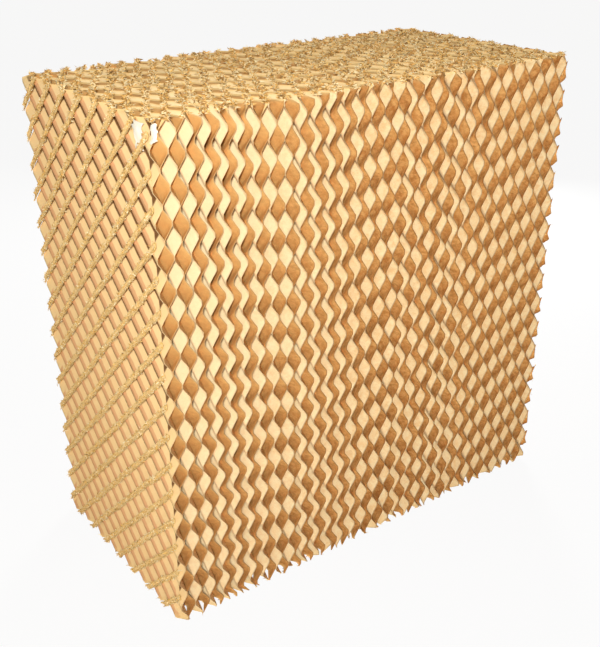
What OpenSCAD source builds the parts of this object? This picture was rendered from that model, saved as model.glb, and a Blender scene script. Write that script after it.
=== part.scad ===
// Evaporative cooling pad: a block of corrugated kraft paper sheets.
// The sheets stand on edge side by side along X. Their flutes rise towards the back in one sheet
// and fall towards the back in the next, and each sheet is glued to its neighbours where the flat
// crests cross. The block is sawn to size, and the saw leaves strips of a cut sheet on both ends.
// Origin at the middle of the bottom, +X along the front, +Y to the back, +Z up, millimetres.

/* [Pad] */
// Whole sheets across the pad, an odd number so that both end sheets rise
sheet_count = 61; // [5:2:121]
// Depth of the pad from its front to its back
pad_d = 152.5; // [60:0.5:300]
// Height of the pad
pad_h = 305; // [80:1:600]

/* [Sheet] */
// Height of a flute over the paper, which is also the pitch of the sheets
flute_h = 5; // [4:0.1:9]
// Pitch of the flutes, square to their run
flute_pitch = 13.55; // [11:0.05:24]
// Width of the flat along each crest, where the glue holds
crest_w = 1.9; // [1:0.1:3]
// Thickness of the paper
paper_t = 0.3; // [0.2:0.05:0.6]
// Slope of the flutes that rise to the back
rise_angle = 43; // [15:1:60]
// Slope of the flutes that fall to the back
fall_angle = 43; // [15:1:60]

/* [Sawn ends] */
// Height of the cut flutes that the saw leaves on the left end
left_strip_h = 1.2; // [0.8:0.1:4]
// Height of the cut flutes that the saw leaves on the right end
right_strip_h = 3; // [0.8:0.1:4]
// Place of the left strips along the wave, in flute pitches
left_strip_shift = 0.03; // [-0.5:0.01:0.5]
// Place of the right strips along the wave, in flute pitches
right_strip_shift = -0.1; // [-0.5:0.01:0.5]

/* [Flute pattern] */
// Sheets in each of the four bundles that the block is glued up from
bundle_sheets = 16; // [2:2:60]
// Place of the first rising sheet's flutes along the wave, in flute pitches
rise_start = 0.72; // [0:0.01:1]
// Place of the first falling sheet's flutes along the wave, in flute pitches
fall_start = 0.56; // [0:0.01:1]
// Shift from one rising sheet to the next in each bundle, in flute pitches
rise_steps = [-0.04, 0.19, -0.44, 0.23]; // [-0.5:0.01:0.5]
// Shift from one falling sheet to the next in each bundle, in flute pitches
fall_steps = [-0.18, 0.08, 0.33, 0.21]; // [-0.5:0.01:0.5]

/* [Hidden] */

// Overall width, and the planes where the whole sheets start and end
pad_w = sheet_count * flute_h + left_strip_h + right_strip_h;
first_x = -pad_w / 2 + left_strip_h;
last_x = pad_w / 2 - right_strip_h;
// Last sheet that belongs to the left half
half_sheet = floor(sheet_count / 2);
// Slope of the flanks, and how far the mitre at a fold moves the edge of a flat
flank_angle = atan2(flute_h - paper_t, flute_pitch / 2 - crest_w);
mitre = paper_t / 2 * tan(flank_angle / 2);
// Half widths of a crest's flat on the outer and the inner side of the paper
outer_half = crest_w / 2 + mitre;
inner_half = crest_w / 2 - mitre;
// Distance between the glued crossings along a flute
crossing = flute_pitch / sin(rise_angle + fall_angle);

// Centre plane of sheet i, and the slope of its flutes: even sheets rise, odd sheets fall
function sheet_x(i) = first_x + (i + 0.5) * flute_h;
function slope(i) = i % 2 == 0 ? rise_angle : -fall_angle;

// Size of the pad's side square to flutes that slope at angle, and along them
function across(angle) = pad_d * abs(sin(angle)) + pad_h * cos(angle);
function along(angle) = pad_d * cos(angle) + pad_h * abs(sin(angle));

// Waves on each side of the pad's middle, one more than its corners need
function half_waves(angle) = ceil(across(angle) / flute_pitch / 2) + 1;

// Steps that sheet i takes in bundle b, and its shift along the wave after all of them
function steps_taken(i, b) = max(0, min(floor(i / 2) - b * bundle_sheets / 2, bundle_sheets / 2));
function shift_after(i, start, steps) =
    start + steps * [for (b = [0:len(steps) - 1]) steps_taken(i, b)];
function flute_shift(i) =
    i % 2 == 0 ? shift_after(i, rise_start, rise_steps) : shift_after(i, fall_start, fall_steps);

// Length of a falling flute inside the pad's side, at a place along the wave
function run_inside(place) =
    let (to_corner = across(fall_angle) / 2 - abs(place))
        min(to_corner / sin(fall_angle) / cos(fall_angle),
            pad_d / cos(fall_angle),
            pad_h / sin(fall_angle));

// One side of the folded paper, as flats at the troughs and crests with straight flanks between
function paper_side(waves, trough_x, trough_half, crest_x, crest_half) =
    [for (wave = [0:waves - 1], corner = [
        [-trough_half, trough_x],
        [trough_half, trough_x],
        [flute_pitch / 2 - crest_half, crest_x],
        [flute_pitch / 2 + crest_half, crest_x]])
        [wave * flute_pitch + corner[0], corner[1]]];

function backwards(points) = [for (i = [len(points) - 1:-1:0]) points[i]];

// Section of a sheet square to its flutes, with the wave along X and the flute height along Y
module sheet_section(waves) {
    low = paper_side(waves, -flute_h / 2, outer_half, flute_h / 2 - paper_t, inner_half);
    high = paper_side(waves, paper_t - flute_h / 2, inner_half, flute_h / 2, outer_half);
    polygon(concat(low, backwards(high)));
}

// Section of a strip: the flat of a cut flute, with its two flanks up to the saw plane
module strip_section(height) {
    rim = outer_half + height / tan(flank_angle);
    inner_rim = rim - paper_t / sin(flank_angle);
    polygon([
        [-outer_half, 0],
        [outer_half, 0],
        [rim, height],
        [inner_rim, height],
        [inner_half, paper_t],
        [-inner_half, paper_t],
        [-inner_rim, height],
        [-rim, height]]);
}

// Sweeps a section along flutes that slope at angle, from a place along the wave, with the
// section's height towards -X, and trims it to the pad's faces within reach of the YZ plane
module sawn_flutes(angle, place, reach) {
    run = along(angle) + 2 * flute_pitch;
    intersection() {
        translate([-reach, -pad_d / 2, 0])
            cube([2 * reach, pad_d, pad_h]);
        translate([0, 0, pad_h / 2])
            rotate([angle, 0, 0])
                translate([0, run / 2, place])
                    rotate([90, 0, 0])
                        rotate([0, 0, 90])
                            linear_extrude(run)
                                children();
    }
}

// Sheet i across the whole side of the pad
module whole_sheet(i) {
    shift = flute_shift(i);
    start = shift - floor(shift) - half_waves(slope(i));
    translate([sheet_x(i), 0, 0])
        sawn_flutes(slope(i), start * flute_pitch, flute_h)
            sheet_section(2 * half_waves(slope(i)));
}

// Whole sheets from first to last, every second one
module whole_sheets(first, last) {
    for (i = [first:2:last])
        whole_sheet(i);
}

// Strips that the saw leaves, each long enough to cross a glued crest of the sheet behind it
module end_strips(height, shift) {
    outermost = half_waves(fall_angle);
    for (n = [-outermost:outermost]) {
        place = (n + shift) * flute_pitch;
        if (run_inside(place) >= crossing)
            sawn_flutes(-fall_angle, place, 2 * height)
                strip_section(height);
    }
}

module rising_sheets_left() {
    color("burlywood") whole_sheets(0, half_sheet);
}

module rising_sheets_right() {
    color("burlywood") whole_sheets(half_sheet + 1 + (half_sheet + 1) % 2, sheet_count - 1);
}

module falling_sheets_left() {
    color("peru") whole_sheets(1, half_sheet);
}

module falling_sheets_right() {
    color("peru") whole_sheets(half_sheet + 1 + half_sheet % 2, sheet_count - 1);
}

module left_end_strips() {
    color("tan")
        translate([first_x, 0, 0])
            end_strips(left_strip_h, left_strip_shift);
}

module right_end_strips() {
    color("tan")
        translate([last_x, 0, 0])
            mirror([1, 0, 0])
                end_strips(right_strip_h, right_strip_shift);
}

rising_sheets_left();
rising_sheets_right();
falling_sheets_left();
falling_sheets_right();
left_end_strips();
right_end_strips();
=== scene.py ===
import math

import bpy
import numpy as np
from mathutils import Euler, Matrix, Vector


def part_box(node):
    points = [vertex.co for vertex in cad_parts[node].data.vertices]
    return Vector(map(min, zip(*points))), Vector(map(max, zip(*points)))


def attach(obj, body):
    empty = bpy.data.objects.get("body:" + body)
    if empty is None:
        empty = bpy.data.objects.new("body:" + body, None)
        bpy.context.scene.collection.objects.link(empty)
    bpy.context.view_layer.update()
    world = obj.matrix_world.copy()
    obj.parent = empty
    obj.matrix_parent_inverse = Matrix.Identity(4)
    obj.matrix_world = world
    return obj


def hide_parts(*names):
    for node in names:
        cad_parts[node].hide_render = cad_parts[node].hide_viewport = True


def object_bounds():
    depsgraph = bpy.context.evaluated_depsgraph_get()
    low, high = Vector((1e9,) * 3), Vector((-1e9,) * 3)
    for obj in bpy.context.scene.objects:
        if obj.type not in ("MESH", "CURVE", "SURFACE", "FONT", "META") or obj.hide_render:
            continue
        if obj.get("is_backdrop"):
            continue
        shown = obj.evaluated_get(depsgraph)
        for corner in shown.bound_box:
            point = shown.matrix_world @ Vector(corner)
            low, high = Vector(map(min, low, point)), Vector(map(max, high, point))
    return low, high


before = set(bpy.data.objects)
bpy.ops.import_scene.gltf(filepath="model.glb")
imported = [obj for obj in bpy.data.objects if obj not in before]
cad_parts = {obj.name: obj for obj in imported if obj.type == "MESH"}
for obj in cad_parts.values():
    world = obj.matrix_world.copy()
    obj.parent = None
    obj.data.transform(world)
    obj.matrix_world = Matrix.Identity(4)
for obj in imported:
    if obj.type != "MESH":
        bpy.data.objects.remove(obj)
cad_low, cad_high = (corner.copy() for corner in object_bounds())

MM = 0.001

# The pad's faces, read from the frame
LEFT, FRONT, BOTTOM = cad_low
RIGHT, BACK, TOP = cad_high
PAD_W = RIGHT - LEFT
PAD_D = BACK - FRONT
PAD_H = TOP - BOTTOM
MID_Y = (FRONT + BACK) / 2
MID_Z = (BOTTOM + TOP) / 2
FIRST_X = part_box("rising_sheets_left")[0].x
LAST_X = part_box("rising_sheets_right")[1].x

# The corrugated sheets
FLUTE_H = 5 * MM
FLUTE_PITCH = 13.55 * MM
PAPER_T = 0.3 * MM
SLOPE = math.radians(43)
CREST_W = 1.9 * MM
FOLD_RADIUS = 0.55 * MM
# Height of the wave of the paper's middle line, and the slope of its flanks
WAVE_H = FLUTE_H - PAPER_T
FLANK = math.atan2(WAVE_H, FLUTE_PITCH / 2 - CREST_W)
# Share of that height which is built, so that glued crests don't cut into each other
WAVE_FILL = 0.985
SHEETS = round((LAST_X - FIRST_X) / FLUTE_H)
HALF_SHEET = SHEETS // 2
# Half the pad's side square to the flutes, and how far the lines along the flutes go
REACH = (PAD_D * math.sin(SLOPE) + PAD_H * math.cos(SLOPE)) / 2
CORNER_MARGIN = 0.5 * MM
LINE_LIMIT = REACH - CORNER_MARGIN
# How far the flutes wander from their pitch, and over what length
WANDER = 0.2 * MM
WANDER_GRAIN = 4 * FLUTE_PITCH

# How the flutes shift from sheet to sheet, in flute pitches
BUNDLE = 16
RISE_START, RISE_STEPS = 0.72, (-0.04, 0.19, -0.44, 0.23)
FALL_START, FALL_STEPS = 0.56, (-0.18, 0.08, 0.33, 0.21)
LEFT_STRIP_SHIFT = 0.03
RIGHT_STRIP_SHIFT = -0.1

# Rows of points along a flute, as distances from its cut ends; the end sheets have one more.
# A flute shorter than ROWS_ROOM times the last distance has them closer together.
END_ROWS = np.array([0, 1.0, 4.0]) * MM
END_SHEET_ROWS = np.array([0, 1.0, 4.0, 10.0]) * MM
ROWS_ROOM = 2.4

# Cut ends of the sheets: sawn at the top and bottom, cut with a knife at the front and back.
# How far the end is ragged, and the frayed notches, which at the bottom are deep but fewer
SAWN_RAG, KNIFE_RAG = 0.25 * MM, 0.05 * MM
FRAY_GRAIN = 3 * MM
TOP_FRAY = 0.5 * MM
BOTTOM_FRAY, BOTTOM_UNFRAYED = 2.2 * MM, 0.9 * MM
LONGEST_RAG = 0.12
# How much of the rag the second and third row take, and of the bend the second
RAG_SECOND, RAG_THIRD, BEND_SECOND = 0.9, 0.5, 0.6
SAWN_BEND, SAWN_BEND_GRAIN = 0.4 * MM, 3 * MM
KNIFE_BEND, KNIFE_BEND_GRAIN = 0.12 * MM, 7 * MM
# Half the thickness of the paper at its end, from least to most
SAWN_HALF = np.array([0.15, 0.3]) * MM
KNIFE_HALF = np.array([0.1, 0.14]) * MM
TOP_HALF = np.array([0.35, 0.85]) * MM
TOP_SECOND_HALF = np.array([0.2, 0.4]) * MM

# Value of the attribute worn where neither painted crest shade nor painted trough shadow goes
UNSHADED = 0.5
# Painted light on the left edge at the floor, as a share of that at the top
PAINTED_LIGHT_AT_FLOOR = 0.4

# Folds sharper than this stay sharp in the shading
SHARP_ANGLE = math.radians(50)

SEED = 7
rng = np.random.default_rng(SEED)


def flute_shift(i):
    """Place of sheet i's flutes along the wave, in flute pitches."""
    start, steps = (RISE_START, RISE_STEPS) if i % 2 == 0 else (FALL_START, FALL_STEPS)
    half = BUNDLE // 2
    taken = [max(0, min(i // 2 - b * half, half)) for b in range(len(steps))]
    return start + sum(step * n for step, n in zip(steps, taken))


def wave_profile():
    """One wave of the paper's middle line as places, heights and slopes: flat crests, straight
    flanks and a fold between them."""
    turn = np.array([0, FLANK])
    tangent = FOLD_RADIUS * math.tan(FLANK / 2)
    place = CREST_W / 2 - tangent + FOLD_RADIUS * np.sin(turn)
    height = WAVE_H / 2 - FOLD_RADIUS * (1 - np.cos(turn))
    place = np.concatenate([place, FLUTE_PITCH / 2 - place[::-1]])
    height = np.concatenate([height, -height[::-1]])
    slope = -np.tan(np.concatenate([turn, turn[::-1]]))
    return (np.concatenate([place, FLUTE_PITCH / 2 + place]), np.concatenate([height, -height]),
            np.concatenate([slope, -slope]))


WAVE_PLACE, WAVE_HEIGHT, WAVE_SLOPE = wave_profile()


def smooth_noise(at, grain, size):
    """Random values of about the given size along a line, smooth over the grain."""
    knots = np.arange(at.min() - grain, at.max() + 2 * grain, grain)
    return np.interp(at, knots, rng.normal(0, size, len(knots)))


def unit(v):
    """Vectors scaled to a length of one."""
    return v / np.linalg.norm(v, axis=-1, keepdims=True)


class Flutes:
    """Lines along the flutes of one sheet: their ends on the pad's faces and the way along them."""

    def __init__(self, rising, s):
        sin, cos = math.sin(SLOPE), math.cos(SLOPE)
        self.across = np.array([-sin, cos]) if rising else np.array([sin, cos])
        self.along = np.array([cos, sin]) if rising else np.array([cos, -sin])
        self.s = s
        y_low = (-PAD_D / 2 - s * self.across[0]) / self.along[0]
        y_high = (PAD_D / 2 - s * self.across[0]) / self.along[0]
        z_ends = (np.array([[-PAD_H / 2], [PAD_H / 2]]) - s * self.across[1]) / self.along[1]
        z_low, z_high = z_ends.min(0), z_ends.max(0)
        self.start = np.maximum(y_low, z_low)
        self.end = np.minimum(y_high, z_high)
        self.chord = self.end - self.start
        self.start_sawn = z_low > y_low
        self.end_sawn = z_high < y_high
        self.start_top = self.start_sawn & (not rising)
        self.end_top = self.end_sawn & rising

    def at(self, x, t):
        """Points at x across the sheets and t along the flutes; t has a row for each line."""
        s = self.s[:, None]
        y = MID_Y + s * self.across[0] + t * self.along[0]
        z = MID_Z + s * self.across[1] + t * self.along[1]
        return np.stack([np.broadcast_to(x, t.shape), y, z], -1)

    def cut_ends(self, rows):
        """First and last row of points: index, step inward, where sawn and where on the top."""
        return ((0, 1, self.start_sawn, self.start_top),
                (rows - 1, -1, self.end_sawn, self.end_top))


class Mesh:
    """Points, faces and point values gathered for one piece."""

    def __init__(self):
        self.points, self.faces, self.values, self.count = [], [], [], 0

    def add(self, points, faces, **values):
        self.points.append(points.reshape(-1, 3))
        self.faces += [np.asarray(f) + self.count for f in faces]
        n = len(self.points[-1])
        self.values.append({k: np.broadcast_to(v, (n,)) for k, v in values.items()})
        self.count += n

    def piece(self, name, material, smooth=True):
        mesh = bpy.data.meshes.new(name)
        faces = [row for block in self.faces for row in block.tolist()]
        mesh.from_pydata(np.concatenate(self.points), [], faces)
        for key in self.values[0]:
            attribute = mesh.attributes.new(key, "FLOAT", "POINT")
            values = np.concatenate([v[key] for v in self.values])
            attribute.data.foreach_set("value", values.astype(np.float32))
        if smooth:
            mesh.polygons.foreach_set("use_smooth", np.ones(len(mesh.polygons), bool))
            mesh.set_sharp_from_angle(angle=SHARP_ANGLE)
        mesh.materials.append(material)
        obj = bpy.data.objects.new(name, mesh)
        bpy.context.scene.collection.objects.link(obj)
        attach(obj, "root")
        return obj


def grid_faces(lines, rows):
    """Faces of a sheet with two sides: the right side, the left side and the four borders."""
    n = lines * rows
    a = np.arange(lines - 1)
    b = np.arange(rows - 1)
    i00 = (a[:, None] * rows + b).ravel()
    i10, i01, i11 = i00 + rows, i00 + 1, i00 + rows + 1
    right = np.stack([i00, i01, i11, i10], 1)
    left = np.stack([i00, i10, i11, i01], 1) + n
    low, low2 = a * rows, (a + 1) * rows
    high, high2 = low + rows - 1, low2 + rows - 1
    far = (lines - 1) * rows
    return [right, left,
            np.stack([low, low2, low2 + n, low + n], 1),
            np.stack([high2, high, high + n, high2 + n], 1),
            np.stack([b + 1, b, b + n, b + 1 + n], 1),
            np.stack([far + b, far + b + 1, far + b + 1 + n, far + b + n], 1)]


# Sawn edges of the sheets, which carry fuzz: points, the way out of the block, and whether the
# sheet is in the right half
sawn_edges = {"top": [], "bottom": []}


def sheet_wave(i):
    """Lines across sheet i: place along the wave, height and slope of the paper."""
    waves = math.ceil(LINE_LIMIT / FLUTE_PITCH) + 1
    turns = np.arange(-waves, waves + 1)[:, None]
    place = ((turns + flute_shift(i) % 1) * FLUTE_PITCH + WAVE_PLACE).ravel()
    inside = place[np.abs(place) < LINE_LIMIT]
    s = np.concatenate([[-LINE_LIMIT], inside, [LINE_LIMIT]])
    height = np.interp(s, place, np.tile(WAVE_HEIGHT, len(turns)))
    slope = np.interp(s, place, np.tile(WAVE_SLOPE, len(turns)))
    s[1:-1] += smooth_noise(s[1:-1], WANDER_GRAIN, WANDER)
    return np.sort(np.clip(s, -LINE_LIMIT, LINE_LIMIT)), height, slope


def flute_rows(lines, end_rows):
    """Rows of points along each flute: some near its cut ends and one in the middle."""
    near = end_rows * np.minimum(1, lines.chord / (ROWS_ROOM * end_rows[-1]))[:, None]
    middle = (lines.start + lines.end) / 2
    return np.concatenate([lines.start[:, None] + near, middle[:, None],
                           lines.end[:, None] - near[:, ::-1]], 1)


def fray_ends(lines, t, x, half):
    """Frays the cut ends of a sheet in place: t along the flutes, x across the sheets, and half
    the thickness of the paper."""
    s, n = lines.s, len(lines.s)
    for row, inward, is_sawn, at_top in lines.cut_ends(t.shape[1]):
        second, third = row + inward, row + 2 * inward
        at_bottom = is_sawn & ~at_top
        rag = np.where(is_sawn, SAWN_RAG, KNIFE_RAG) * np.abs(rng.normal(0, 1, n))
        rag += np.where(at_top, np.maximum(0, smooth_noise(s, FRAY_GRAIN, TOP_FRAY)), 0)
        notch = smooth_noise(s, FRAY_GRAIN, BOTTOM_FRAY) - BOTTOM_UNFRAYED
        rag += np.where(at_bottom, np.maximum(0, notch), 0)
        rag = np.minimum(rag, lines.chord * LONGEST_RAG)
        t[:, row] += inward * rag
        t[:, second] += inward * rag * RAG_SECOND
        t[:, third] += inward * rag * RAG_THIRD
        bend = np.where(is_sawn, smooth_noise(s, SAWN_BEND_GRAIN, SAWN_BEND),
                        smooth_noise(s, KNIFE_BEND_GRAIN, KNIFE_BEND))
        x[:, row] += bend
        x[:, second] += bend * BEND_SECOND
        half[:, row] = np.where(is_sawn, rng.uniform(*SAWN_HALF, n), rng.uniform(*KNIFE_HALF, n))
        half[:, row] = np.where(at_top, rng.uniform(*TOP_HALF, n), half[:, row])
        half[:, second] = np.where(at_top, rng.uniform(*TOP_SECOND_HALF, n), half[:, second])


def cut_marks(lines, shape):
    """Where the points lie on a cut edge, and how far it is a sawn one."""
    cut, sawn = np.zeros(shape), np.zeros(shape)
    for row, inward, is_sawn, _ in lines.cut_ends(shape[1]):
        cut[:, row] = 1
        sawn[:, row] = is_sawn
        sawn[:, row + inward] = is_sawn * 0.5
    return np.tile(cut.ravel(), 2), np.tile(sawn.ravel(), 2)


def outer_shade_marks(lines, height, shape, on_left, on_right):
    """Depth on the side that faces out of the pad's end, which places painted shade and shadow: 0
    on its crests, 1 in its troughs, and none at the open ends of the flutes."""
    deep = np.repeat((0.5 + height / WAVE_H)[:, None], shape[1], 1)
    deep[~lines.start_sawn, :len(END_ROWS)] = UNSHADED
    deep[~lines.end_sawn, -len(END_ROWS):] = UNSHADED
    plain = np.full(shape, UNSHADED)
    return np.stack([1 - deep if on_right else plain, deep if on_left else plain]).ravel()


def painted_light_marks(points):
    """Painted light, as how much paler the paper is made: most at the upper left, and not at all in
    the right half.
    """
    to_left = np.maximum(0, 1 - 2 * (points[..., 0] - LEFT) / PAD_W)
    upward = points[..., 2] / PAD_H
    return (to_left * (PAINTED_LIGHT_AT_FLOOR + (1 - PAINTED_LIGHT_AT_FLOOR) * upward)).ravel()


def add_sheet(mesh, i):
    """One corrugated sheet, with its knife-cut front and back and its sawn top and bottom."""
    on_left, on_right = i == 0, i == SHEETS - 1
    s, height, slope = sheet_wave(i)
    lines = Flutes(i % 2 == 0, s)
    t = flute_rows(lines, END_SHEET_ROWS if on_left or on_right else END_ROWS)
    rows = t.shape[1]
    x = np.repeat((FIRST_X + (i + 0.5) * FLUTE_H + height * WAVE_FILL)[:, None], rows, 1)
    half = np.full(t.shape, PAPER_T / 2)
    fray_ends(lines, t, x, half)
    middle = lines.at(x, t)
    tilt = np.arctan(slope)[:, None, None]
    normal = np.concatenate([np.cos(tilt), -np.sin(tilt) * lines.across[0],
                             -np.sin(tilt) * lines.across[1]], -1)
    to_side = normal * half[..., None]
    points = np.stack([middle + to_side, middle - to_side])
    points[..., 2] = np.maximum(points[..., 2], BOTTOM)
    cut, sawn = cut_marks(lines, t.shape)
    # Point values: painted light at the upper left, painted shade on the right sides, and painted
    # shade and shadow on the outer crests and troughs
    mesh.add(points, grid_faces(len(s), rows), cut=cut, sawn=sawn,
             worn=outer_shade_marks(lines, height, t.shape, on_left, on_right),
             outer=np.repeat([float(on_right), float(on_left)], t.size),
             felt=np.repeat([1.0, 0.0], t.size),
             bleach=painted_light_marks(points), tone=rng.uniform(0, 1))
    out = np.array([0, *lines.along])
    for row, inward, is_sawn, top in lines.cut_ends(rows):
        for face, chosen in (("top", is_sawn & top), ("bottom", is_sawn & ~top)):
            if chosen.sum() > 1:
                sawn_edges[face].append((middle[chosen, row], -inward * out, i > HALF_SHEET))


def build_sheets(name, node, first, last, material):
    """Every second sheet from first to last."""
    mesh = Mesh()
    for i in range(first, last + 1, 2):
        add_sheet(mesh, i)
    obj = mesh.piece(name, material)
    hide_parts(node)


# The strips that the saw leaves on the ends: distance between rows of points, width of a torn
# lip, which is wider than the cut paper, and how much narrower the left end's filled strips are
STRIP_ROW, LEAST_STRIP_ROWS = 1.7 * MM, 4
LIP_SPREAD = 1.25
LIP_W = PAPER_T / math.sin(FLANK) * LIP_SPREAD
FILLED_RIM = 0.65
# Matted bottom of a filled strip: distance from its lips, and heights at its sides and middle
FILLED_INSET, FILLED_SIDE_H, FILLED_MIDDLE_H = 0.25 * MM, 0.68, 0.55
OPEN_INSET = 0.1 * MM
# Roughness of the lips and bottoms across the saw plane, and of the lips along it
LIP_ROUGH, MAT_ROUGH, LIP_SIDE_ROUGH = 0.16 * MM, 0.2 * MM, 0.17 * MM
# The lips are worn down over this grain, and least of a strip that is left
WEAR_GRAIN, LEAST_LEFT = 3 * MM, 0.25
STRIP_SWAY, STRIP_SWAY_GRAIN = 0.2 * MM, 9 * MM

# Points of the strips that carry fuzz
strip_edges = {"left": [], "right": []}


def strip_places(shift):
    """Middles of the strips along the wave, for those long enough to cross a glued crest."""
    crossing = FLUTE_PITCH / math.sin(2 * SLOPE)
    count = math.ceil(REACH / FLUTE_PITCH) + 1
    for n in range(-count, count + 1):
        place = (n + shift) * FLUTE_PITCH
        if (REACH - abs(place)) / math.sin(SLOPE) / math.cos(SLOPE) >= crossing:
            yield place


def strip_section(tall, filled):
    """Section of a strip: place along the wave, height over the glue plane, and whether the
    point is on a lip and on the matted bottom."""
    flat = CREST_W / 2
    rim = flat + tall / math.tan(FLANK) * (FILLED_RIM if filled else 1)
    if filled:
        mat, side_h, middle_h = (rim - LIP_W - FILLED_INSET, tall * FILLED_SIDE_H,
                                 tall * FILLED_MIDDLE_H)
    else:
        mat, side_h, middle_h = flat - OPEN_INSET, PAPER_T, PAPER_T
    return np.array([
        [-flat, 0, 0, 0], [0, 0, 0, 0], [flat, 0, 0, 0],
        [(flat + rim) / 2, tall / 2, 0, 0], [rim, tall, 1, 0], [rim - LIP_W, tall, 1, 0],
        [mat, side_h, 0, 1], [mat / 3, middle_h, 0, 1], [-mat / 3, middle_h, 0, 1],
        [-mat, side_h, 0, 1], [LIP_W - rim, tall, 1, 0], [-rim, tall, 1, 0],
        [-(flat + rim) / 2, tall / 2, 0, 0]])


def tube_faces(sides, rows, flipped):
    """Faces of a closed tube of points, with its two caps."""
    k = np.arange(sides)
    a = np.repeat(k, rows - 1)
    b = np.tile(np.arange(rows - 1), sides)
    a2 = (a + 1) % sides
    quads = np.stack([a * rows + b, a * rows + b + 1, a2 * rows + b + 1, a2 * rows + b], 1)
    faces = [quads, np.array([k * rows]), np.array([k[::-1] * rows + rows - 1])]
    return [block[:, ::-1] for block in faces] if flipped else faces


def build_strips(name, node, glue_x, saw_x, shift, filled, wear, material):
    """Strips of the cut sheet on one end: torn lips at the saw plane over a matted bottom."""
    side = 1 if saw_x > glue_x else -1
    tall = abs(saw_x - glue_x)
    section = strip_section(tall, filled)
    n = len(section)
    lips = section[:, 2] > 0
    mats = section[:, 3] > 0
    mesh = Mesh()
    for place in strip_places(shift):
        lines = Flutes(False, np.clip(place + section[:, 0], -LINE_LIMIT, LINE_LIMIT))
        chord = lines.chord.max()
        rows = max(LEAST_STRIP_ROWS, round(chord / STRIP_ROW))
        share = np.linspace(0, 1, rows)
        t = lines.start[:, None] + lines.chord[:, None] * share
        run = share * chord
        worn_off = wear * rng.uniform(0, 1)
        left_over = 1 - worn_off - np.abs(smooth_noise(run, WEAR_GRAIN, wear))
        x = section[:, 1:2] * np.clip(left_over, LEAST_LEFT, 1)
        x[lips] += rng.normal(0, LIP_ROUGH, (lips.sum(), rows))
        x[mats] += rng.normal(0, MAT_ROUGH, (mats.sum(), rows))
        x = np.minimum(x, tall)
        sway = smooth_noise(run, STRIP_SWAY_GRAIN, STRIP_SWAY)
        side_rough = np.where(lips[:, None], rng.normal(0, LIP_SIDE_ROUGH, (n, rows)), 0)
        points = lines.at(glue_x + side * x, t)
        points[..., 1:] += (sway + side_rough)[..., None] * lines.across
        points[..., 1] = np.clip(points[..., 1], FRONT, BACK)
        points[..., 2] = np.clip(points[..., 2], BOTTOM, TOP)
        mesh.add(points, tube_faces(n, rows, side > 0),
                 cut=np.repeat(section[:, 2], rows), sawn=np.repeat(section[:, 3], rows),
                 worn=UNSHADED, outer=0.0, felt=0.0, bleach=0.0, tone=rng.uniform(0, 1))
        edges = strip_edges["left" if side < 0 else "right"]
        edges.append(points[lips].reshape(-1, 3))
        edges.append(points[mats].reshape(-1, 3))
    obj = mesh.piece(name, material)
    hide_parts(node)


def add_fibres(mesh, roots, ways, lengths, widths):
    """Thin tapered fibres: one slender closed spike on each root."""
    n = len(roots)
    ways = unit(ways)
    first = unit(np.cross(ways, rng.normal(0, 1, (n, 3))))
    second = np.cross(ways, first)
    ring = [roots + widths[:, None] * (math.cos(q) * first + math.sin(q) * second)
            for q in (0, 2 * math.pi / 3, 4 * math.pi / 3)]
    points = np.stack(ring + [roots + ways * lengths[:, None]], 1)
    base = np.arange(n)[:, None] * 4
    corners = ([0, 2, 1], [0, 1, 3], [1, 2, 3], [2, 0, 3])
    faces = np.concatenate([base + np.array([f]) for f in corners])
    mesh.add(points, [faces], tone=np.repeat(rng.uniform(0, 1, n), 4))


def torn_lengths(n, mean, least, most):
    """Random lengths from millimetres: many short ones and a few long ones."""
    return np.minimum(rng.exponential(mean, n) + least, most) * MM


def stray(roots, distance):
    """Roots moved at random, by about the given distance in millimetres."""
    return roots + rng.normal(0, distance * MM, roots.shape)


def between(n, least, most):
    """Random sizes from millimetres."""
    return rng.uniform(least, most, n) * MM


# Steps longer than this along a row of points are gaps in the sawn edge
EDGE_GAP = 6 * MM
# How strongly fibres point out of the block, and their random spread
EDGE_FIBRE_OUT, EDGE_FIBRE_SPREAD = 0.5, 0.75
STRIP_FIBRE_OUT, STRIP_FIBRE_SPREAD = 0.35, 0.7
# Flakes of the sawn edges lie rather flat and point up a little
FLAKE_FLATNESS = np.array([1, 1, 0.35])
FLAKE_LIFT = np.array([0, 0, 0.1])
# How far loose fuzz stands over the top
FUZZ_OVER_TOP = 2 * MM


def along_edges(edges, per_metre):
    """Random places along polylines, with the way out of the block at each."""
    roots, outs = [], []
    for line, way, _ in edges:
        step = np.linalg.norm(np.diff(line, axis=0), axis=1)
        step[step > EDGE_GAP] = 0
        total = step.sum()
        if total <= 0:
            continue
        n = rng.poisson(total * per_metre)
        walked = np.concatenate([[0], np.cumsum(step)])
        at = np.interp(rng.uniform(0, total, n), walked, np.arange(len(line)))
        low = np.clip(at.astype(int), 0, len(line) - 2)
        roots.append(line[low] + (line[low + 1] - line[low]) * (at - low)[:, None])
        outs.append(np.repeat(way[None], n, 0))
    return np.concatenate(roots), np.concatenate(outs)


def fuzz_piece(mesh, name, material):
    """The fuzz gathered in a mesh, kept between the floor and a little over the pad's top."""
    for block in mesh.points:
        np.clip(block[:, 2], BOTTOM, TOP + FUZZ_OVER_TOP, out=block[:, 2])
    obj = mesh.piece(name, material, smooth=False)


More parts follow.
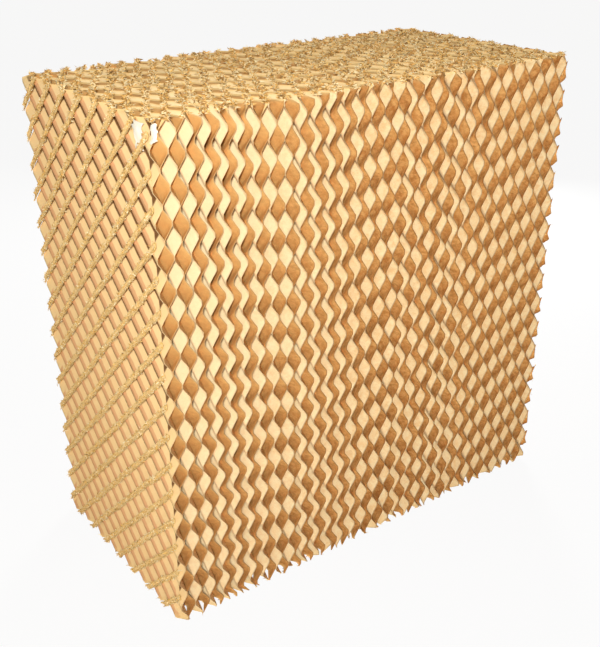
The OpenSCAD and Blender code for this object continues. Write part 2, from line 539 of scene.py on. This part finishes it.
def build_fuzz(face, right_half, name, fibres, flakes, material):
    """Frayed fibres and flat flakes along the sawn edges of the top or the bottom, per metre."""
    mesh = Mesh()
    edges = [edge for edge in sawn_edges[face] if edge[2] == right_half]
    roots, outs = along_edges(edges, fibres)
    n = len(roots)
    ways = outs * EDGE_FIBRE_OUT + rng.normal(0, EDGE_FIBRE_SPREAD, (n, 3))
    lengths = torn_lengths(n, mean=0.8, least=0.5, most=2.8)
    add_fibres(mesh, stray(roots, 0.3), ways, lengths, between(n, 0.07, 0.2))
    roots, _ = along_edges(edges, flakes)
    n = len(roots)
    ways = rng.normal(0, 1, (n, 3)) * FLAKE_FLATNESS + FLAKE_LIFT
    add_fibres(mesh, stray(roots, 0.5), ways, between(n, 0.8, 3.2), between(n, 0.2, 0.65))
    fuzz_piece(mesh, name, material)


def build_strip_fuzz(side, name, fibres, flakes, material):
    """Frayed fibres and torn flakes on the strips of one end."""
    mesh = Mesh()
    pool = np.concatenate(strip_edges[side])
    outward = np.array([-1.0 if side == "left" else 1.0, 0, 0])
    roots = stray(pool[rng.integers(0, len(pool), fibres)], 0.3)
    ways = outward * STRIP_FIBRE_OUT + rng.normal(0, STRIP_FIBRE_SPREAD, (fibres, 3))
    lengths = torn_lengths(fibres, mean=0.6, least=0.35, most=2.4)
    add_fibres(mesh, roots, ways, lengths, between(fibres, 0.06, 0.15))
    roots = stray(pool[rng.integers(0, len(pool), flakes)], 0.2)
    ways = rng.normal(0, 1, (flakes, 3))
    lengths = torn_lengths(flakes, mean=0.6, least=0.4, most=3.2)
    add_fibres(mesh, roots, ways, lengths, between(flakes, 0.18, 0.55))
    fuzz_piece(mesh, name, material)


# Torn flaps at the near upper corner: middle from the near lower corner of the first sheet, half
# width and half height, as vectors in millimetres
FLAPS = (
    ((-0.6, 9.5, 296.5), (-0.9, 3.6, 0.6), (-0.4, -1.0, 7.0)),
    ((2.4, -0.6, 299.0), (2.2, 0.3, 0.6), (0.6, 0.2, 4.6)),
)
FLAP_LINES, FLAP_ROWS = 7, 9
# Share of the half width where a flap's sides are, and how ragged they are
FLAP_SIDE, FLAP_RAG = 0.75, 0.22
FLAP_BEND, FLAP_CRUMPLE = 0.5, 0.12
FLAP_HALF = 0.6 * PAPER_T


def build_flaps(name, material):
    """Pale torn flaps of paper: thin bent sheets with a ragged outline."""
    mesh = Mesh()
    corner = np.array([FIRST_X, FRONT, BOTTOM])
    v = np.linspace(-1, 1, FLAP_ROWS)
    share = np.linspace(0, 1, FLAP_LINES)[:, None]
    for flap in FLAPS:
        middle, wide, tall = (np.array(part) * MM for part in flap)
        out = unit(np.cross(wide, tall))
        low = -FLAP_SIDE + rng.normal(0, FLAP_RAG, FLAP_ROWS)
        high = FLAP_SIDE + rng.normal(0, FLAP_RAG, FLAP_ROWS)
        u = low + (high - low) * share
        lift = (FLAP_BEND * u ** 2 + rng.normal(0, FLAP_CRUMPLE, u.shape)) * MM
        centre = (corner + middle + u[..., None] * wide + v[None, :, None] * tall
                  + lift[..., None] * out)
        side = out * FLAP_HALF
        mesh.add(np.stack([centre + side, centre - side]), grid_faces(FLAP_LINES, FLAP_ROWS),
                 cut=1.0, sawn=0.0, worn=UNSHADED, outer=0.0, felt=0.0, bleach=0.0,
                 tone=rng.uniform(0, 1))
    obj = mesh.piece(name, material)


class Nodes:
    """Short way to write the nodes of a material or of the world."""

    def __init__(self, owner):
        owner.use_nodes = True
        self.tree = owner.node_tree
        self.tree.nodes.clear()

    def new(self, kind, **settings):
        node = self.tree.nodes.new(kind)
        for key, value in settings.items():
            if key in node.inputs:
                node.inputs[key].default_value = value
            else:
                setattr(node, key, value)
        return node

    def link(self, source, target):
        self.tree.links.new(source, target)

    def noise(self, place, scale, detail, roughness, distortion=0.0):
        node = self.new("ShaderNodeTexNoise", Scale=scale, Detail=detail, Roughness=roughness,
                        Distortion=distortion)
        self.link(place, node.inputs["Vector"])
        return node.outputs["Fac"]

    def ramp(self, fac, *stops):
        node = self.new("ShaderNodeValToRGB")
        elements = node.color_ramp.elements
        while len(elements) < len(stops):
            elements.new(0.5)
        for element, (at, colour) in zip(elements, stops):
            element.position = at
            element.color = (*colour, 1)
        self.link(fac, node.inputs["Fac"])
        return node.outputs["Color"]

    def share(self, fac, *stops):
        """A share from 0 to 1, ramped between stops of (fac, share)."""
        return self.ramp(fac, *((at, (share, share, share)) for at, share in stops))

    def mix(self, fac, one, two):
        node = self.new("ShaderNodeMix", data_type="RGBA")
        for source, target in ((fac, node.inputs[0]), (one, node.inputs[6]), (two, node.inputs[7])):
            if isinstance(source, tuple):
                target.default_value = (*source, 1)
            else:
                self.link(source, target)
        return node.outputs[2]

    def math(self, operation, one, two):
        node = self.new("ShaderNodeMath", operation=operation)
        for source, target in ((one, node.inputs[0]), (two, node.inputs[1])):
            if isinstance(source, (int, float)):
                target.default_value = source
            else:
                self.link(source, target)
        return node.outputs[0]

    def attribute(self, name):
        """A point value of the mesh."""
        return self.new("ShaderNodeAttribute", attribute_name=name).outputs["Fac"]

    def weighted(self, name, weight):
        """A point value of the mesh times a weight."""
        return self.math("MULTIPLY", self.attribute(name), weight)

    def seen_directly(self):
        """1 for rays from the camera and through mirrors or glass, and 0 for light."""
        rays = self.new("ShaderNodeLightPath").outputs
        mirrored = self.math("MAXIMUM", rays["Is Glossy Ray"], rays["Is Transmission Ray"])
        return self.math("MAXIMUM", rays["Is Camera Ray"], mirrored)

    def paper_shader(self, colour, roughness):
        """A matt surface without shine, linked to the output."""
        shader = self.new("ShaderNodeBsdfPrincipled")
        shader.inputs["Roughness"].default_value = roughness
        shader.inputs["Specular IOR Level"].default_value = 0.0
        self.link(colour, shader.inputs["Base Color"])
        output = self.new("ShaderNodeOutputMaterial")
        self.link(shader.outputs["BSDF"], output.inputs["Surface"])
        return shader


def srgb(*values):
    """A colour given as screen values from 0 to 255, as the linear values that shaders take."""
    shares = (v / 255 for v in values)
    return tuple(v / 12.92 if v <= 0.04045 else ((v + 0.055) / 1.055) ** 2.4 for v in shares)


# Colours that all papers share: pale cut edge, dark cut edge painted as shadow lines, sawn edge,
# the tan of the side that faces out of the pad's ends with painted shade on its crests and painted
# shadow in its troughs, and painted shade on the right side of each sheet
CREAM = srgb(252, 222, 166)
# Painted shadow: the dark cut edge draws the thin shadow lines between the sheets
EDGE_SHADOW = srgb(112, 62, 28)
SAWN = srgb(250, 208, 128)
OUTER_TAN = srgb(240, 199, 134)
# Painted shade on the outer crests, and painted shadow in the outer troughs
CREST_SHADE = srgb(222, 162, 114)
TROUGH_SHADOW = srgb(98, 56, 26)
# Painted shade on the right side of each sheet, which faces away from the key
SIDE_SHADE = srgb(206, 142, 78)


def paper_material(name, light, body, fleck, edge):
    """Kraft paper: mottled, with darker flecks and blotches and pale grains. It is made paler by
    painted light towards the upper left, and browner by painted shade on the right sides and on the
    outer crests and troughs. Its cut edges have the edge colour, which for the sheets is painted
    shadow, or cream where the painted light falls, and its sawn edges are yellow."""
    material = bpy.data.materials.new(name)
    m = Nodes(material)
    place = m.new("ShaderNodeTexCoord").outputs["Object"]
    mottle = m.noise(place, 300, 5, 0.65)
    stretched = m.new("ShaderNodeMapping", Scale=(1.0, 1.0, 3.5), Rotation=(0.8, 0, 0))
    m.link(place, stretched.inputs["Vector"])
    fibre = m.noise(stretched.outputs["Vector"], 620, 4, 0.7, 0.8)
    blotch = m.noise(place, 130, 4, 0.75)
    grain = m.noise(place, 1500, 2, 0.6)
    colour = m.ramp(mottle, (0.36, body), (0.62, light))
    colour = m.mix(m.share(fibre, (0.54, 0), (0.72, 0.7)), colour, fleck)
    colour = m.mix(m.share(blotch, (0.5, 0), (0.66, 0.5)), colour, fleck)
    colour = m.mix(m.share(grain, (0.58, 0), (0.8, 0.4)), colour, light)
    colour = m.mix(m.weighted("tone", 0.22), colour, body)
    # Painted light: the paper paler towards the upper left
    colour = m.mix(m.weighted("bleach", 0.95), colour, light)
    # Painted shade: the right side of each sheet is browner
    colour = m.mix(m.weighted("felt", 0.55), colour, SIDE_SHADE)
    # The outer side of the end sheets is made a darker tan than the rest
    colour = m.mix(m.weighted("outer", 0.65), colour, OUTER_TAN)
    uneven = m.math("MULTIPLY", m.math("SUBTRACT", mottle, 0.5), 0.12)
    worn = m.math("ADD", m.attribute("worn"), uneven)
    # Painted shade on the outer crest flats, which the key lights less than the flanks, and painted
    # shadow in the troughs behind the crests
    colour = m.mix(m.share(worn, (0.16, 0.8), (0.24, 0)), colour, CREST_SHADE)
    colour = m.mix(m.share(worn, (0.67, 0), (0.74, 0.92)), colour, TROUGH_SHADOW)
    # For the sheets, cut edges are dark painted shadow lines, turning cream where the painted light
    # falls
    edge_tint = m.mix(m.attribute("bleach"), edge, CREAM)
    colour = m.mix(m.weighted("cut", 0.55), colour, edge_tint)
    sawn_tint = m.mix(m.noise(place, 700, 3, 0.7), SAWN, CREAM)
    colour = m.mix(m.attribute("sawn"), colour, sawn_tint)
    shader = m.paper_shader(colour, 0.85)
    relief = m.math("ADD", m.math("MULTIPLY", fibre, 0.7), m.math("MULTIPLY", grain, 0.3))
    bump = m.new("ShaderNodeBump", Strength=0.5, Distance=0.4 * MM)
    m.link(relief, bump.inputs["Height"])
    m.link(bump.outputs["Normal"], shader.inputs["Normal"])
    return material


def fuzz_material(name, dark, brown, mid, pale):
    """Frayed fibres and flakes: each one its own tone, with a fine mottle."""
    material = bpy.data.materials.new(name)
    m = Nodes(material)
    place = m.new("ShaderNodeTexCoord").outputs["Object"]
    tones = ((0.0, dark), (0.24, brown), (0.48, mid), (0.74, pale))
    colour = m.ramp(m.attribute("tone"), *tones)
    mottle = m.math("MULTIPLY", m.noise(place, 900, 2, 0.6), 0.5)
    m.paper_shader(m.mix(mottle, colour, mid), 0.9)
    return material


rising_paper = paper_material("rising_kraft", srgb(255, 235, 187), srgb(250, 216, 158),
                              srgb(232, 184, 120), EDGE_SHADOW)
# The falling sheets get browner colours than the rising ones: painted shade for their seen flanks,
# which the key lights less
falling_paper = paper_material("falling_kraft", srgb(246, 194, 120), srgb(210, 145, 78),
                               srgb(156, 94, 44), EDGE_SHADOW)
strip_paper = paper_material("strip_kraft", srgb(238, 198, 114), srgb(222, 180, 98),
                             srgb(184, 138, 66), CREAM)
torn_paper = paper_material("torn_kraft", srgb(255, 250, 234), srgb(254, 244, 216),
                            srgb(244, 222, 174), srgb(255, 252, 238))
fuzz = fuzz_material("frayed_kraft", srgb(92, 56, 22), srgb(216, 156, 80), srgb(250, 208, 126),
                     srgb(255, 244, 202))
strip_fuzz = fuzz_material("frayed_strip", srgb(120, 80, 34), srgb(214, 166, 86),
                           srgb(240, 200, 116), srgb(255, 246, 210))

# First even and first odd sheet of the right half
RIGHT_EVEN = HALF_SHEET + 1 + (HALF_SHEET + 1) % 2
RIGHT_ODD = HALF_SHEET + 1 + HALF_SHEET % 2
LAST_SHEET = SHEETS - 1
build_sheets("rising_paper_left", "rising_sheets_left",
             0, HALF_SHEET, rising_paper)
build_sheets("rising_paper_right", "rising_sheets_right",
             RIGHT_EVEN, LAST_SHEET, rising_paper)
build_sheets("falling_paper_left", "falling_sheets_left",
             1, HALF_SHEET, falling_paper)
build_sheets("falling_paper_right", "falling_sheets_right",
             RIGHT_ODD, LAST_SHEET, falling_paper)
build_strips("left_strips_paper", "left_end_strips", FIRST_X, LEFT, LEFT_STRIP_SHIFT,
             filled=True, wear=0.08, material=strip_paper)
build_strips("right_strips_paper", "right_end_strips", LAST_X, RIGHT, RIGHT_STRIP_SHIFT,
             filled=False, wear=0.45, material=falling_paper)
for face, fibres, flakes in (("top", 5500, 8500), ("bottom", 900, 400)):
    build_fuzz(face, False, face + "_fuzz_left", fibres, flakes, fuzz)
    build_fuzz(face, True, face + "_fuzz_right", fibres, flakes, fuzz)
build_strip_fuzz("left", "left_fuzz", 20000, 8000, strip_fuzz)
build_strip_fuzz("right", "right_fuzz", 6000, 2500, strip_fuzz)
build_flaps("torn_flaps", torn_paper)

# Floor, white to the camera but for part of the pad's shadow
scene = bpy.context.scene
FLOOR_HALF = 6.0
FLOOR_DROP = 0.2 * MM
FLOOR_WHITENESS = 0.92
floor_mesh = bpy.data.meshes.new("floor")
floor_mesh.from_pydata([(-FLOOR_HALF, -FLOOR_HALF, 0), (FLOOR_HALF, -FLOOR_HALF, 0),
                        (FLOOR_HALF, FLOOR_HALF, 0), (-FLOOR_HALF, FLOOR_HALF, 0)],
                       [], [(0, 1, 2, 3)])
floor = bpy.data.objects.new("floor", floor_mesh)
floor.location.z = -FLOOR_DROP
scene.collection.objects.link(floor)
floor_material = bpy.data.materials.new("floor_white")
f = Nodes(floor_material)
diffuse = f.new("ShaderNodeBsdfDiffuse")
diffuse.inputs["Color"].default_value = (0.85, 0.85, 0.85, 1)
white = f.new("ShaderNodeEmission", Strength=1.0)
blend = f.new("ShaderNodeMixShader")
f.link(f.math("MULTIPLY", f.seen_directly(), FLOOR_WHITENESS), blend.inputs["Fac"])
f.link(diffuse.outputs["BSDF"], blend.inputs[1])
f.link(white.outputs["Emission"], blend.inputs[2])
f.link(blend.outputs["Shader"], f.new("ShaderNodeOutputMaterial").inputs["Surface"])
floor_mesh.materials.append(floor_material)
floor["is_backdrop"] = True

# Surround: white where it is seen, and a weak warm light on the pad
scene.world = bpy.data.worlds.new("surround")
w = Nodes(scene.world)
lit = w.new("ShaderNodeBackground", Color=(1, 0.82, 0.6, 1), Strength=0.16)
shown = w.new("ShaderNodeBackground", Color=(1, 1, 1, 1), Strength=1.0)
pick = w.new("ShaderNodeMixShader")
w.link(w.seen_directly(), pick.inputs["Fac"])
w.link(lit.outputs["Background"], pick.inputs[1])
w.link(shown.outputs["Background"], pick.inputs[2])
w.link(pick.outputs["Shader"], w.new("ShaderNodeOutputWorld").inputs["Surface"])

# Camera at the photograph's place: beside the near lower corner, in metres
CAMERA_FROM_CORNER = (-0.2130, -0.40575, 0.40971)
CAMERA_AZIMUTH = math.radians(36.817)
CAMERA_DOWN = math.radians(24.864)
CAMERA_ROLL = math.radians(-0.177)
camera_data = bpy.data.cameras.new("camera")
camera_data.lens = 53.73
camera_data.sensor_width = 36
camera_data.clip_start = 0.01
camera = bpy.data.objects.new("camera", camera_data)
camera.location = Vector((LEFT, FRONT, BOTTOM)) + Vector(CAMERA_FROM_CORNER)
aimed = Euler((math.pi / 2 - CAMERA_DOWN, 0, -CAMERA_AZIMUTH)).to_matrix()
camera.rotation_euler = (aimed @ Matrix.Rotation(CAMERA_ROLL, 3, "Z")).to_euler()
scene.collection.objects.link(camera)
scene.camera = camera


def area_light(name, at, size, watts):
    """A round lamp that points at the pad's middle and isn't seen itself."""
    data = bpy.data.lights.new(name, "AREA")
    data.shape = "DISK"
    data.size = size
    data.energy = watts
    lamp = bpy.data.objects.new(name, data)
    lamp.location = at
    lamp.rotation_euler = (Vector((0, 0, PAD_H / 2)) - at).to_track_quat("-Z", "Y").to_euler()
    lamp.visible_camera = False
    scene.collection.objects.link(lamp)


# The key stands beside the camera, above it and to its left, so that it lights as a flash does.
# A weak lamp hangs over the sawn top. A third stands behind the far corner, below the pad's top,
# for the right end and the back.
KEY_FROM_CAMERA = Vector((-0.105, -0.13, 0.12))
TOP_LAMP_HEIGHT = 0.9
BACK_LAMP_FROM_CORNER = Vector((0.42, 0.5, 0.24))
area_light("key", camera.location + KEY_FROM_CAMERA, size=0.06, watts=5.6)
area_light("top_lamp", Vector((0, 0, TOP + TOP_LAMP_HEIGHT)), size=0.5, watts=0.4)
area_light("back_lamp", Vector((RIGHT, BACK, BOTTOM)) + BACK_LAMP_FROM_CORNER,
           size=0.25, watts=8.0)

scene.view_settings.view_transform = "Standard"
